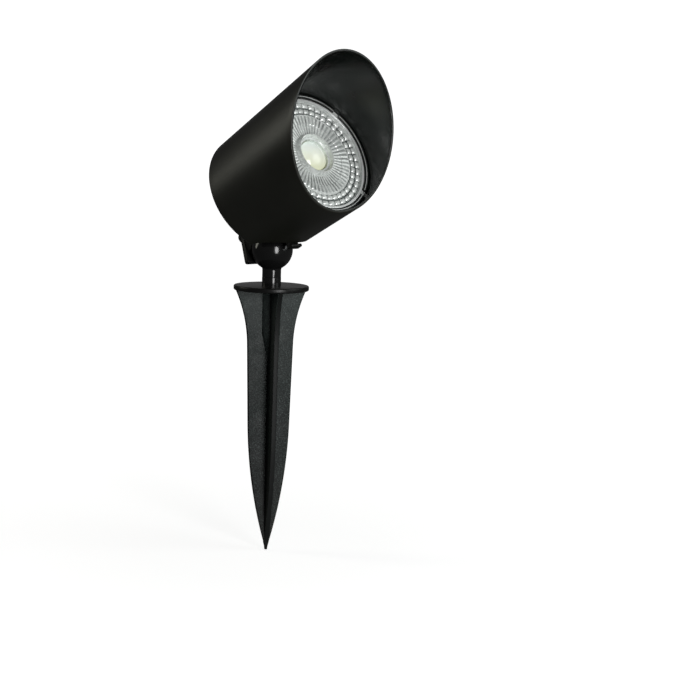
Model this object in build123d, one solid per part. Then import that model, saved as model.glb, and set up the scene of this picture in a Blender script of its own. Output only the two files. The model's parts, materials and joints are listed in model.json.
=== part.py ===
from build123d import *
import math
import os

# Garden spotlight on a ground spike.  Millimetres.
# Origin: centre of the flange's underside, which is the ground line.
# +Z is up and +X is the way the beam points at rest.
# Two tilted frames are used for the head:
#   ball frame - origin at the ball's centre, X along the tube, Z square to it
#   tube frame - the ball frame lifted to the tube's axis

# ---- driving dimensions: pose ----
BALL_HEIGHT = 17.2
HEAD_ELEVATION = 28.8
TUBE_OFFSET = 23.75
TILT_UP_LIMIT = 45.0
LEAN_LIMIT = 15.0

# ---- driving dimensions: tube and hood ----
REAR_X = 3.2
REAR_RADIUS = 26.92
TAPER = 0.0306
WALL = 1.8
HOOD_WALL = 1.1
REAR_WALL = 2.0
REAR_FILLET = 1.5
HOOD_CUT_X = 61.0
HOOD_CUT_SLOPE = 0.559
BLANK_LENGTH = 84.0
SCALLOP_RADIUS = 15.0
DOME_WALL = 1.6

# ---- driving dimensions: lamp module ----
LENS_FRONT_X = 42.6
LENS_RADIUS = 24.1
BEZEL_RADIUS = 25.0
BEZEL_INNER_RADIUS = 23.5
BEZEL_LIP = 0.6
LEDGE_X = 35.8
LEDGE_LENGTH = 2.0
LEDGE_RADIUS = 24.7
SEAL_THICKNESS = 0.8
FLANGE_RING_RADIUS = 26.4
FLANGE_RING_LENGTH = 1.6
SINK_RADIUS = 24.4
SINK_SKIRT_RADIUS = 22.6
SINK_FLOOR_X = 29.9
SINK_FLOOR_THICKNESS = 2.5
FIN_START_X = 22.0
FIN_INNER_RADIUS = 17.5
FIN_THICKNESS = 1.4
FIN_COUNT = 16
LED_BOARD_RADIUS = 14.5
LED_BOARD_THICKNESS = 1.2
CHIP_SIZE = 7.0
CHIP_THICKNESS = 1.0
DRIVER_BOARD_X = 18.0
DRIVER_BOARD_RADIUS = 19.0
DRIVER_BOARD_THICKNESS = 1.6
STANDOFF_CIRCLE = 13.5
STANDOFF_RADIUS = 2.2
STANDOFF_START_ANGLE = 60

# ---- driving dimensions: ball clamp ----
BALL_RADIUS = 8.8
JAW_RADIUS = 9.0
LINER_INNER_RADIUS = 9.0
LINER_OUTER_RADIUS = 9.7
LINER_SEAT_RADIUS = 9.9
LINER_EDGE_Z = 6.4
LINER_SEAT_Z = 2.9
BLOCK_REAR_X = -7.5
BLOCK_FRONT_X = 12.2
BLOCK_HALF_WIDTH = 7.0
BLOCK_BOTTOM_Z = 2.5
BLOCK_TOP_Z = 12.6
LIP_X = (12.0, 13.4)
LIP_HALF_WIDTH = 3.0
LIP_BOTTOM_Z = -5.4
TOE_X = (12.0, 15.2)
TOE_HALF_WIDTH = 3.0
TOE_TOP_Z = -4.0
LIP_ROOT_X = (9.5, 13.4)
LIP_ROOT_Z = (-0.5, 6.0)
PLATE_THICKNESS = 2.4
PLATE_BOTTOM_Z = -2.3
PLATE_BOTTOM_HALF_WIDTH = 8.7
PLATE_TOP_HALF_WIDTH = 6.0
STEM_RELIEF_RADIUS = 4.4
CLAMP_SCREW_Y = 4.2
CLAMP_SCREW_Z = 10.3
BLOCK_SCREW_X = 10.5
BLOCK_SCREW_Y = 4.2
BLOCK_SCREW_PAD_Z = 14.2

# ---- driving dimensions: stem and spike ----
SHANK_RADIUS = 4.02
SPIGOT_RADIUS = 2.95
SOCKET_RADIUS = 3.0
SPIGOT_BOTTOM_Z = -16.0
SOCKET_BOTTOM_Z = -17.0
CLIP_Z = -12.9
CLIP_THICKNESS = 0.8
DISC_RADIUS = 16.05
DISC_THICKNESS = 2.05
BOSS_RADIUS = 4.1
BOSS_HEIGHT = 3.4
BLADE_THICKNESS = 2.2
BLADE_HEADING = -26.0
BLADE_ROOT_HALF_WIDTH = 15.4
BLADE_FLARE = (11.85, -10.0)
BLADE_NECK = (10.0, -24.0)
BLADE_SHOULDER = (9.1, -58.0)
TIP_Z = -113.4
CORE_RADIUS = 4.2
CORE_BOTTOM_Z = -32.0
CORE_TIP_RADIUS = 1.3

# ---- driving dimensions: cable gland and fasteners ----
GLAND_BORE_RADIUS = 3.6
GLAND_THREAD_RADIUS = 5.85
GLAND_HOLE_RADIUS = 6.0
GLAND_HEX = 15.0
GLAND_NUT_HEX = 14.0
GLAND_END_X = -17.0
SCREW_RADIUS = 1.25
SCREW_HEAD_RADIUS = 2.2
SCREW_HEAD_HEIGHT = 1.5
LEAD_RADIUS = 0.6
LEAD_Z = -9.8

ball_frame = Location((0, 0, BALL_HEIGHT), (0, -HEAD_ELEVATION, 0))
tube_frame = ball_frame * Location((0, 0, TUBE_OFFSET))
ALONG_X = Rot(0, 90, 0)
FROM_START = (Align.CENTER, Align.CENTER, Align.MIN)


def outer_radius(x):
    """Outside radius of the tapered tube at a place along its axis."""
    return REAR_RADIUS + TAPER * (x - REAR_X)


def inner_radius(x):
    return outer_radius(x) - WALL


def hood_bore(x):
    """Inside radius in front of the ledge, where the wall is thinner."""
    return outer_radius(x) - HOOD_WALL


def turned(*points):
    """Solid of revolution about the X axis from (x, radius) points."""
    return revolve(make_face(Plane.XZ * Polyline(*points, close=True)), axis=Axis.X)


def rod(x_from, x_to, radius, y=0, z=0):
    """Round bar that lies along X."""
    return Pos(x_from, y, z) * ALONG_X * Cylinder(radius, x_to - x_from, align=FROM_START)


def ring(x_from, x_to, inner, outer):
    return rod(x_from, x_to, outer) - rod(x_from - 1, x_to + 1, inner)


def hex_bar(x_from, x_to, across_flats):
    """Hexagonal bar along X with a flat facing down."""
    outline = RegularPolygon(across_flats / 2, 6, major_radius=False)
    return Pos(x_from, 0, 0) * Plane.YZ.location * extrude(outline, x_to - x_from)


def block(x_range, y_range, z_range):
    """Box between two limits on each axis."""
    low = Vector(x_range[0], y_range[0], z_range[0])
    high = Vector(x_range[1], y_range[1], z_range[1])
    size = high - low
    return Location(low) * Box(size.X, size.Y, size.Z, align=(Align.MIN,) * 3)


def around(count, shape, start=0):
    """The same shape repeated around the X axis."""
    return [Rot(start + 360 * i / count, 0, 0) * shape for i in range(count)]


def pan_screw(length, radius=SCREW_RADIUS, head=SCREW_HEAD_RADIUS):
    """Screw along +X with its head behind x = 0 and a hexagon recess in it."""
    recess_depth = 0.6 * SCREW_HEAD_HEIGHT
    body = rod(-SCREW_HEAD_HEIGHT, 0, head) + rod(0, length, radius)
    recess = Pos(-SCREW_HEAD_HEIGHT, 0, 0) * hex_bar(0, recess_depth, head)
    return body - recess


# ---- tube and hood ----
def housing_shell():
    ball_centre = Pos(0, 0, -TUBE_OFFSET)
    end_x = BLANK_LENGTH
    blank = turned((REAR_X, 0), (REAR_X, REAR_RADIUS), (end_x, outer_radius(end_x)), (end_x, 0))
    rear_edge = blank.edges().filter_by(GeomType.CIRCLE).sort_by(Axis.X)[0]
    blank = fillet(rear_edge, REAR_FILLET)
    floor_x = REAR_X + REAR_WALL
    ledge_end = LEDGE_X + LEDGE_LENGTH
    cavity = turned(
        (floor_x, 0),
        (floor_x, inner_radius(floor_x)),
        (LEDGE_X, inner_radius(LEDGE_X)),
        (LEDGE_X, LEDGE_RADIUS),
        (ledge_end, LEDGE_RADIUS),
        (ledge_end, hood_bore(ledge_end)),
        (end_x + 1, hood_bore(end_x + 1)),
        (end_x + 1, 0),
    )
    cavity -= ball_centre * Sphere(SCALLOP_RADIUS + DOME_WALL)
    pad_radius = SCREW_HEAD_RADIUS + 0.5
    pad_height = 4.0
    for y in (-BLOCK_SCREW_Y, BLOCK_SCREW_Y):
        pad_top = Pos(BLOCK_SCREW_X, y, BLOCK_SCREW_PAD_Z)
        pad = pad_top * Cylinder(pad_radius, pad_height, align=(Align.CENTER, Align.CENTER, Align.MAX))
        cavity -= ball_centre * pad
    beyond_hood = 200
    through_wall = 40
    cut_angle = math.degrees(math.atan(HOOD_CUT_SLOPE))
    hood_cut = Box(beyond_hood, beyond_hood, beyond_hood, align=(Align.MIN, Align.CENTER, Align.CENTER))
    shell = blank - cavity - Pos(HOOD_CUT_X, 0, 0) * Rot(0, cut_angle, 0) * hood_cut
    shell -= ball_centre * Sphere(SCALLOP_RADIUS)
    shell -= rod(0, floor_x + 1, GLAND_HOLE_RADIUS)
    for y in (-BLOCK_SCREW_Y, BLOCK_SCREW_Y):
        shell -= ball_centre * Pos(BLOCK_SCREW_X, y, 0) * Cylinder(SCREW_RADIUS + 0.1, through_wall)
    return tube_frame * shell


# ---- lamp module ----
SEAL_X = LEDGE_X + LEDGE_LENGTH
FLANGE_RING_X = SEAL_X + SEAL_THICKNESS
RIM_X = FLANGE_RING_X + FLANGE_RING_LENGTH
BOARD_X = SINK_FLOOR_X + SINK_FLOOR_THICKNESS
CHIP_X = BOARD_X + LED_BOARD_THICKNESS
DRIVER_FRONT_X = DRIVER_BOARD_X + DRIVER_BOARD_THICKNESS
BOARD_SCREW_Y = 10.0
LEAD_HOLE_RADIUS = 2.2


def module_heatsink():
    skirt = ring(SINK_FLOOR_X, RIM_X, SINK_SKIRT_RADIUS, SINK_RADIUS)
    flange = ring(FLANGE_RING_X, RIM_X, SINK_SKIRT_RADIUS, FLANGE_RING_RADIUS)
    sink = rod(SINK_FLOOR_X, BOARD_X, SINK_RADIUS) + skirt + flange
    fin = block(
        (FIN_START_X, SINK_FLOOR_X),
        (-FIN_THICKNESS / 2, FIN_THICKNESS / 2),
        (FIN_INNER_RADIUS, SINK_RADIUS - 0.3),
    )
    for copy in around(FIN_COUNT, fin):
        sink += copy
    sink -= rod(SINK_FLOOR_X - 1, BOARD_X + 1, LEAD_HOLE_RADIUS, z=LEAD_Z)
    for y in (-BOARD_SCREW_Y, BOARD_SCREW_Y):
        sink -= rod(SINK_FLOOR_X + 0.5, BOARD_X + 1, SCREW_RADIUS + 0.05, y=y)
    return tube_frame * sink


def led_board():
    board = rod(BOARD_X, CHIP_X, LED_BOARD_RADIUS)
    board -= rod(BOARD_X - 1, CHIP_X + 1, LEAD_HOLE_RADIUS, z=LEAD_Z)
    for y in (-BOARD_SCREW_Y, BOARD_SCREW_Y):
        board -= rod(BOARD_X - 1, CHIP_X + 1, SCREW_RADIUS + 0.15, y=y)
    return tube_frame * board


def led_chip():
    half = CHIP_SIZE / 2
    return tube_frame * block((CHIP_X, CHIP_X + CHIP_THICKNESS), (-half, half), (-half, half))


def board_screws():
    screw = Rot(0, 180, 0) * pan_screw(3.0)
    return tube_frame * Compound([Pos(CHIP_X, y, 0) * screw for y in (-BOARD_SCREW_Y, BOARD_SCREW_Y)])


def led_lead(side):
    """Insulated wire from the driver through the heatsink to its pad beside the chip."""
    bend = 1.2
    run_y = side * 1.0
    pad_y = run_y + side * 2 * bend
    bend_x = CHIP_X + 0.4
    start = (DRIVER_FRONT_X, run_y, LEAD_Z)
    bend_start = (bend_x, run_y, LEAD_Z)
    bend_top = (bend_x + bend, run_y + side * bend, LEAD_Z)
    bend_end = (bend_x, pad_y, LEAD_Z)
    path = Line(start, bend_start) + ThreePointArc(bend_start, bend_top, bend_end)
    path += Line(bend_end, (CHIP_X, pad_y, LEAD_Z))
    section = Plane(origin=start, z_dir=(1, 0, 0)) * Circle(LEAD_RADIUS)
    return tube_frame * sweep(section, path=path)


def module_lens():
    pocket_x = CHIP_X + CHIP_THICKNESS + 0.4
    lens = turned(
        (LENS_FRONT_X, 0),
        (LENS_FRONT_X, LENS_RADIUS),
        (RIM_X, LENS_RADIUS),
        (RIM_X, SINK_SKIRT_RADIUS - 0.1),
        (pocket_x, CHIP_SIZE * 0.8),
        (pocket_x, CHIP_SIZE * 0.65),
        (pocket_x + 1.8, CHIP_SIZE * 0.6),
        (pocket_x + 2.4, 0),
    )
    return tube_frame * lens


def lens_bezel():
    front_x = LENS_FRONT_X + BEZEL_LIP
    bezel = turned(
        (RIM_X, LENS_RADIUS + 0.1),
        (RIM_X, BEZEL_RADIUS),
        (front_x, BEZEL_RADIUS),
        (front_x, BEZEL_INNER_RADIUS),
        (LENS_FRONT_X, BEZEL_INNER_RADIUS),
        (LENS_FRONT_X, LENS_RADIUS + 0.1),
    )
    return tube_frame * bezel


def front_seal():
    return tube_frame * ring(SEAL_X, FLANGE_RING_X, LEDGE_RADIUS + 0.05, FLANGE_RING_RADIUS)


def retaining_ring():
    end_x = LENS_FRONT_X + 1.1
    outer = hood_bore(RIM_X) - 0.05
    body = ring(RIM_X, end_x, BEZEL_RADIUS + 0.1, outer)
    notch = block((end_x - 1.0, end_x + 1), (-1.5, 1.5), (BEZEL_RADIUS - 1, outer + 1))
    for copy in around(4, notch, start=45):
        body -= copy
    return tube_frame * body


def driver_board():
    board = rod(DRIVER_BOARD_X, DRIVER_FRONT_X, DRIVER_BOARD_RADIUS)
    hole = rod(DRIVER_BOARD_X - 1, DRIVER_FRONT_X + 1, SCREW_RADIUS + 0.15, z=STANDOFF_CIRCLE)
    for copy in around(3, hole, STANDOFF_START_ANGLE):
        board -= copy
    return tube_frame * board


def board_standoffs():
    post = rod(DRIVER_FRONT_X, SINK_FLOOR_X, STANDOFF_RADIUS, z=STANDOFF_CIRCLE)
    post -= rod(DRIVER_FRONT_X - 1, DRIVER_FRONT_X + 4.5, SCREW_RADIUS + 0.05, z=STANDOFF_CIRCLE)
    return tube_frame * Compound(around(3, post, STANDOFF_START_ANGLE))


def driver_screws():
    screw = Pos(DRIVER_BOARD_X, 0, STANDOFF_CIRCLE) * pan_screw(DRIVER_BOARD_THICKNESS + 3.5)
    return tube_frame * Compound(around(3, screw, STANDOFF_START_ANGLE))


def driver_components():
    """Capacitor, coil, transformer and bridge that stand on the driver's front face."""
    x = DRIVER_FRONT_X
    capacitor = rod(x, x + 7.5, 3.2, y=-5.5, z=4.5)
    coil = rod(x, x + 5.0, 3.6, y=5.5, z=4.5)
    transformer = block((x, x + 6.5), (1.5, 10.5), (-7.5, -0.5))
    bridge = block((x, x + 2.6), (-10.0, -3.5), (-6.0, -1.0))
    return tube_frame * Compound([capacitor, coil, transformer, bridge])


TERMINAL_Y = 6.0
TERMINAL_X = 9.5
TERMINAL_Z = (9.0, 17.0)
TERMINAL_SCREW_Y = 3.0
TERMINAL_SCREW_X = 13.5


def terminal_block():
    body = block((TERMINAL_X, DRIVER_BOARD_X), (-TERMINAL_Y, TERMINAL_Y), TERMINAL_Z)
    for y in (-TERMINAL_SCREW_Y, TERMINAL_SCREW_Y):
        body -= rod(TERMINAL_X - 1, TERMINAL_SCREW_X + 3, 1.3, y=y, z=TERMINAL_Z[0] + 3)
        body -= Pos(TERMINAL_SCREW_X, y, TERMINAL_Z[1] - 4) * Cylinder(1.5, 5, align=FROM_START)
    return tube_frame * body


def terminal_screws():
    screw = Cylinder(1.4, 3.2, align=FROM_START)
    screw -= Pos(0, 0, 2.6) * Box(4, 0.5, 1.3, align=FROM_START)
    base_z = TERMINAL_Z[1] - 3.9
    places = [Pos(TERMINAL_SCREW_X, y, base_z) for y in (-TERMINAL_SCREW_Y, TERMINAL_SCREW_Y)]
    return tube_frame * Compound([place * screw for place in places])


# ---- cable gland ----
GLAND_SEAL_X = REAR_X - 0.8
GLAND_FLANGE_X = GLAND_SEAL_X - 3.75
GLAND_NECK_X = GLAND_FLANGE_X - 8.0
GLAND_NECK_RADIUS = 5.4
GLAND_BUSH_X = GLAND_NECK_X - 2.3
GLAND_HEX_END_X = -9.0
GLAND_THREAD_END_X = 10.6


def gland_seal():
    return tube_frame * ring(GLAND_SEAL_X, REAR_X, GLAND_HOLE_RADIUS, GLAND_HEX / 2)


def gland_body():
    body = hex_bar(GLAND_FLANGE_X, GLAND_SEAL_X, GLAND_HEX)
    body += rod(GLAND_SEAL_X, GLAND_THREAD_END_X, GLAND_THREAD_RADIUS)
    body += rod(GLAND_NECK_X, GLAND_FLANGE_X, GLAND_NECK_RADIUS)
    return tube_frame * (body - rod(GLAND_NECK_X - 1, GLAND_THREAD_END_X + 1, GLAND_BORE_RADIUS))


def gland_bush():
    return tube_frame * ring(GLAND_BUSH_X, GLAND_NECK_X, GLAND_BORE_RADIUS, GLAND_NECK_RADIUS - 0.1)


def gland_nut():
    flat_radius = GLAND_NUT_HEX / 2
    nut = hex_bar(GLAND_HEX_END_X, GLAND_FLANGE_X - 0.7, GLAND_NUT_HEX)
    dome_mid_x = (GLAND_END_X + GLAND_HEX_END_X) / 2
    profile = Line((GLAND_END_X, 0), (GLAND_END_X, 4.7))
    profile += ThreePointArc((GLAND_END_X, 4.7), (dome_mid_x, 6.4), (GLAND_HEX_END_X, flat_radius))
    profile += Polyline((GLAND_HEX_END_X, flat_radius), (GLAND_HEX_END_X, 0), (GLAND_END_X, 0))
    nut += revolve(make_face(Plane.XZ * profile), axis=Axis.X)
    nut -= rod(GLAND_END_X - 1, 0, GLAND_BORE_RADIUS)
    nut -= rod(GLAND_BUSH_X, 0, GLAND_NECK_RADIUS + 0.1)
    return tube_frame * nut


def gland_locknut():
    start_x = REAR_X + REAR_WALL
    nut = hex_bar(start_x, start_x + 2.75, GLAND_HEX)
    return tube_frame * (nut - rod(start_x - 1, start_x + 4, GLAND_THREAD_RADIUS + 0.1))


# ---- ball clamp ----
def both_sides(y):
    return (-y, y)


def socket_block():
    body = block((BLOCK_REAR_X, BLOCK_FRONT_X), both_sides(BLOCK_HALF_WIDTH), (BLOCK_BOTTOM_Z, BLOCK_TOP_Z))
    body += block(LIP_X, both_sides(LIP_HALF_WIDTH), (LIP_BOTTOM_Z, LIP_ROOT_Z[1]))
    body += block(LIP_ROOT_X, both_sides(LIP_HALF_WIDTH), LIP_ROOT_Z)
    body &= Sphere(SCALLOP_RADIUS - 0.1)
    body += block(TOE_X, both_sides(TOE_HALF_WIDTH), (LIP_BOTTOM_Z, TOE_TOP_Z))
    above_seat = block((-20, 20), (-20, 20), (LINER_SEAT_Z, 20))
    body -= Sphere(JAW_RADIUS)
    body -= Sphere(LINER_SEAT_RADIUS) & above_seat
    for y in both_sides(CLAMP_SCREW_Y):
        body -= rod(BLOCK_REAR_X - 1, -2.0, SCREW_RADIUS + 0.05, y=y, z=CLAMP_SCREW_Z)
    for y in both_sides(BLOCK_SCREW_Y):
        body -= Pos(BLOCK_SCREW_X, y, 3.8) * Cylinder(SCREW_RADIUS + 0.05, 20, align=FROM_START)
    return ball_frame * body


def clamp_plate():
    outline = Polyline(
        (-PLATE_BOTTOM_HALF_WIDTH, PLATE_BOTTOM_Z),
        (PLATE_BOTTOM_HALF_WIDTH, PLATE_BOTTOM_Z),
        (PLATE_TOP_HALF_WIDTH, BLOCK_TOP_Z),
        (-PLATE_TOP_HALF_WIDTH, BLOCK_TOP_Z),
        close=True,
    )
    face = make_face(outline)
    corners = face.vertices().sort_by(Axis.Y)
    face = fillet(corners[:2], 1.0)
    face = fillet(face.vertices().sort_by(Axis.Y)[-2:], 1.6)
    rear_x = BLOCK_REAR_X - PLATE_THICKNESS
    plate = Pos(rear_x, 0, 0) * Plane.YZ.location * extrude(face, PLATE_THICKNESS)
    plate -= Sphere(JAW_RADIUS)
    for lean in (-LEAN_LIMIT, 0, LEAN_LIMIT):
        stem_way = Rot(lean, 0, 0) * Rot(0, TILT_UP_LIMIT, 0)
        shaft = Cylinder(STEM_RELIEF_RADIUS, 40, align=(Align.CENTER, Align.CENTER, Align.MAX))
        plate -= stem_way * shaft
    for y in both_sides(CLAMP_SCREW_Y):
        plate -= rod(rear_x - 1, BLOCK_REAR_X + 1, SCREW_RADIUS + 0.15, y=y, z=CLAMP_SCREW_Z)
    return ball_frame * plate


def clamp_screws():
    head_x = BLOCK_REAR_X - PLATE_THICKNESS
    screw = pan_screw(7.5)
    places = [Pos(head_x, y, CLAMP_SCREW_Z) for y in both_sides(CLAMP_SCREW_Y)]
    return ball_frame * Compound([place * screw for place in places])


def block_screws():
    screw = Rot(0, 90, 0) * pan_screw(9.5)
    places = [Pos(BLOCK_SCREW_X, y, BLOCK_SCREW_PAD_Z) for y in both_sides(BLOCK_SCREW_Y)]
    return ball_frame * Compound([place * screw for place in places])


def ball_liner():
    cap = Sphere(LINER_OUTER_RADIUS) - Sphere(LINER_INNER_RADIUS)
    return ball_frame * (cap & block((-10, 10), (-10, 10), (LINER_EDGE_Z, 10)))


# ---- stem and spike ----
BOSS_TOP_Z = DISC_THICKNESS + BOSS_HEIGHT
STEM_SHOULDER_Z = BOSS_TOP_Z + 0.05
CLIP_BOTTOM_Z = CLIP_Z - CLIP_THICKNESS / 2


def upright(z_from, z_to, radius):
    """Round bar that stands on its axis."""
    return Pos(0, 0, z_from) * Cylinder(radius, z_to - z_from, align=FROM_START)


def ball_stem():
    stem = Pos(0, 0, BALL_HEIGHT) * Sphere(BALL_RADIUS)
    stem += upright(STEM_SHOULDER_Z, BALL_HEIGHT, SHANK_RADIUS)
    spigot = upright(SPIGOT_BOTTOM_Z, STEM_SHOULDER_Z, SPIGOT_RADIUS)
    spigot = chamfer(spigot.edges().sort_by(Axis.Z)[0], 0.8)
    groove_z = (CLIP_BOTTOM_Z - 0.1, CLIP_BOTTOM_Z + CLIP_THICKNESS + 0.1)
    groove = upright(*groove_z, SPIGOT_RADIUS + 1) - upright(*groove_z, SPIGOT_RADIUS - 0.6)
    return stem + (spigot - groove)


def stem_clip():
    """Spring ring, open on one side, that keeps the spigot in its socket."""
    top = CLIP_BOTTOM_Z + CLIP_THICKNESS
    clip = upright(CLIP_BOTTOM_Z, top, SOCKET_RADIUS + 0.35)
    clip -= upright(CLIP_BOTTOM_Z, top, SPIGOT_RADIUS - 0.55)
    return clip - block((0, 5), (-1.2, 1.2), (CLIP_BOTTOM_Z - 1, top + 1))


def blade():
    """Flat plate of the spike's side outline: flared root, long waist, pointed end."""
    root = (BLADE_ROOT_HALF_WIDTH, 0)
    tip = (0, TIP_Z)
    waist = Line(BLADE_NECK, BLADE_SHOULDER)
    flank = ThreePointArc(root, BLADE_FLARE, BLADE_NECK) + waist
    flank += TangentArc(BLADE_SHOULDER, tip, tangent=waist % 1)
    half = make_face(flank + Polyline(tip, (0, 0), root))
    outline = half + mirror(half, about=Plane.YZ)
    return extrude(Plane.XZ * outline, BLADE_THICKNESS / 2, both=True)


def ground_spike():
    disc = upright(0, DISC_THICKNESS, DISC_RADIUS)
    disc = fillet(disc.edges().filter_by(GeomType.CIRCLE), 0.6)
    core_top_length = -SOCKET_BOTTOM_Z + 1.5
    taper_length = -CORE_BOTTOM_Z - core_top_length
    core = upright(-core_top_length, 0, CORE_RADIUS)
    core += Pos(0, 0, CORE_BOTTOM_Z) * Cone(CORE_TIP_RADIUS, CORE_RADIUS, taper_length, align=FROM_START)
    spike = disc + core + upright(0, BOSS_TOP_Z, BOSS_RADIUS)
    for quarter in (0, 90):
        spike += Rot(0, 0, BLADE_HEADING + quarter) * blade()
    spike -= upright(SOCKET_BOTTOM_Z, BOSS_TOP_Z + 1, SOCKET_RADIUS)
    clip_room = 0.4
    spike -= upright(
        CLIP_BOTTOM_Z - clip_room, CLIP_BOTTOM_Z + CLIP_THICKNESS + clip_room, SOCKET_RADIUS + 0.5
    )
    return spike


NODES = {
    "housing_shell": housing_shell(),
    "module_heatsink": module_heatsink(),
    "led_board": led_board(),
    "led_chip": led_chip(),
    "board_screws": board_screws(),
    "lead_positive": led_lead(1),
    "lead_negative": led_lead(-1),
    "module_lens": module_lens(),
    "lens_bezel": lens_bezel(),
    "front_seal": front_seal(),
    "retaining_ring": retaining_ring(),
    "driver_board": driver_board(),
    "driver_components": driver_components(),
    "driver_screws": driver_screws(),
    "board_standoffs": board_standoffs(),
    "terminal_block": terminal_block(),
    "terminal_screws": terminal_screws(),
    "gland_seal": gland_seal(),
    "gland_body": gland_body(),
    "gland_bush": gland_bush(),
    "gland_nut": gland_nut(),
    "gland_locknut": gland_locknut(),
    "socket_block": socket_block(),
    "block_screws": block_screws(),
    "clamp_plate": clamp_plate(),
    "clamp_screws": clamp_screws(),
    "ball_liner": ball_liner(),
    "ball_stem": ball_stem(),
    "stem_clip": stem_clip(),
    "ground_spike": ground_spike(),
}

os.makedirs("parts", exist_ok=True)
for name, shape in NODES.items():
    export_step(shape, f"parts/{name}.step")
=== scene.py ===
import json
import math
import bmesh
import bpy
from mathutils import Matrix, Vector


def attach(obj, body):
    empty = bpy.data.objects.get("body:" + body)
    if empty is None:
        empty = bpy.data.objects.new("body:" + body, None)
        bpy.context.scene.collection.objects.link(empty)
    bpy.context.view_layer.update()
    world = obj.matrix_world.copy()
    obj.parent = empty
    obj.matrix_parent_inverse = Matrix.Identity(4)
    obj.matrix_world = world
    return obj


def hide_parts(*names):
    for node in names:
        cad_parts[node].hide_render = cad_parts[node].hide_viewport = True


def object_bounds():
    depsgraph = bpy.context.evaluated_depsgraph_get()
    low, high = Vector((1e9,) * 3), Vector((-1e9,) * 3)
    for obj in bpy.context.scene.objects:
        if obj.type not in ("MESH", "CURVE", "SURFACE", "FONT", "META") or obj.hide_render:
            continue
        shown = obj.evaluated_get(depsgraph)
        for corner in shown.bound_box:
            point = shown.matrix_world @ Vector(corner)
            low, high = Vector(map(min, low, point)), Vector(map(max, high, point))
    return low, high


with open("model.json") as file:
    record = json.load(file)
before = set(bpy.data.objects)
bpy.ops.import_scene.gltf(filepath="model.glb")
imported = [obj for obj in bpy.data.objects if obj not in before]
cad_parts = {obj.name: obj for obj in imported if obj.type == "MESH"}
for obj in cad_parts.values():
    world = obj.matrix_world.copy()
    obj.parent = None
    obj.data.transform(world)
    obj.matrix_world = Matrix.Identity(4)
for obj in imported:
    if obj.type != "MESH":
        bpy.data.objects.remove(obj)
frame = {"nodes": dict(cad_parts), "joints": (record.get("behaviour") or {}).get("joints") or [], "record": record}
cad_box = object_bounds()

# Garden spotlight on a ground spike.
# Shapes are drawn in millimetres in one of three frames and placed in the shared frame in metres:
#   ground - the shared frame itself, origin under the flange
#   ball   - origin at the ball's centre, X along the tube, Z square to it
#   tube   - the ball frame lifted to the tube's axis
MM = 0.001

# ---- frames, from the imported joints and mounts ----
joints = {joint["name"]: joint for joint in frame["joints"]}
mounts = {mount["name"]: mount for mount in frame["record"]["mounts"]}
slots = {part["node"]: part["material_slot"] for part in frame["record"]["subparts"]}
ball_centre = Vector(joints["tilt"]["pos_m"])
along = Vector(joints["lean"]["axis"])
side = Vector((0, 1, 0))
above = along.cross(side)
gland_end = Vector(mounts["cable_gland"]["pos_m"])
tube_centre = ball_centre + above * (gland_end - ball_centre).dot(above)


def tilted(origin):
    """Placement of a millimetre drawing whose X lies along the tube."""
    turn = Matrix((along, side, above)).transposed().to_4x4()
    return Matrix.Translation(origin) @ turn @ Matrix.Scale(MM, 4)


GROUND = Matrix.Scale(MM, 4)
BALL = tilted(ball_centre)
TUBE = tilted(tube_centre)
BALL_IN_TUBE = TUBE.inverted() @ ball_centre


def node_points(node, place):
    """Corners of a CAD node's mesh in one of the drawing frames, in millimetres."""
    back = place.inverted()
    return [back @ vertex.co for vertex in frame["nodes"][node].data.vertices]


def extent(node, place):
    """Lowest and highest corner of a CAD node, in millimetres."""
    points = node_points(node, place)
    low = Vector(min(point[axis] for point in points) for axis in range(3))
    high = Vector(max(point[axis] for point in points) for axis in range(3))
    return low, high


def widest(node, place):
    """Largest distance of a CAD node from the X axis, in millimetres."""
    return max(math.hypot(point.y, point.z) for point in node_points(node, place))


# ---- mesh helpers ----
MERGE_DISTANCE = 1e-4
SHARP_ANGLE = 25
SIDE_SHARE = 0.45
HEX_TURNS = [math.radians(60 * index) for index in range(6)]


def soften(points, radius, steps=4, closed=True):
    """The outline with each corner off the axis rounded, over at most SIDE_SHARE of its sides."""
    count = len(points)
    rounded = []
    for index, corner in enumerate(points):
        corner = Vector(corner)
        at_end = not closed and index in (0, count - 1)
        if at_end or corner.y == 0:
            rounded.append(corner)
            continue
        before = Vector(points[index - 1]) - corner
        after = Vector(points[(index + 1) % count]) - corner
        start = corner + before.normalized() * min(radius, SIDE_SHARE * before.length)
        end = corner + after.normalized() * min(radius, SIDE_SHARE * after.length)
        for step in range(steps + 1):
            t = step / steps
            rounded.append(start * (1 - t) ** 2 + corner * 2 * t * (1 - t) + end * t * t)
    return rounded


def arc(centre, radius, start, end, steps):
    """Points on an arc in the drawing plane, with angles in degrees."""
    angles = [math.radians(start + (end - start) * i / steps) for i in range(steps + 1)]
    return [Vector((centre[0] + radius * math.cos(a), centre[1] + radius * math.sin(a))) for a in angles]


def loft(sections, wrap=False):
    """Mesh that joins loops of equally many points, closed at both ends unless it wraps round."""
    mesh = bmesh.new()
    loops = [[mesh.verts.new(point) for point in section] for section in sections]
    pairs = list(zip(loops, loops[1:] + loops[:1])) if wrap else list(zip(loops, loops[1:]))
    for near, far in pairs:
        for index in range(len(near)):
            after = (index + 1) % len(near)
            mesh.faces.new((near[index], near[after], far[after], far[index]))
    if not wrap:
        mesh.faces.new(loops[0])
        mesh.faces.new(reversed(loops[-1]))
    bmesh.ops.remove_doubles(mesh, verts=mesh.verts, dist=MERGE_DISTANCE)
    bmesh.ops.recalc_face_normals(mesh, faces=mesh.faces)
    return mesh


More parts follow.
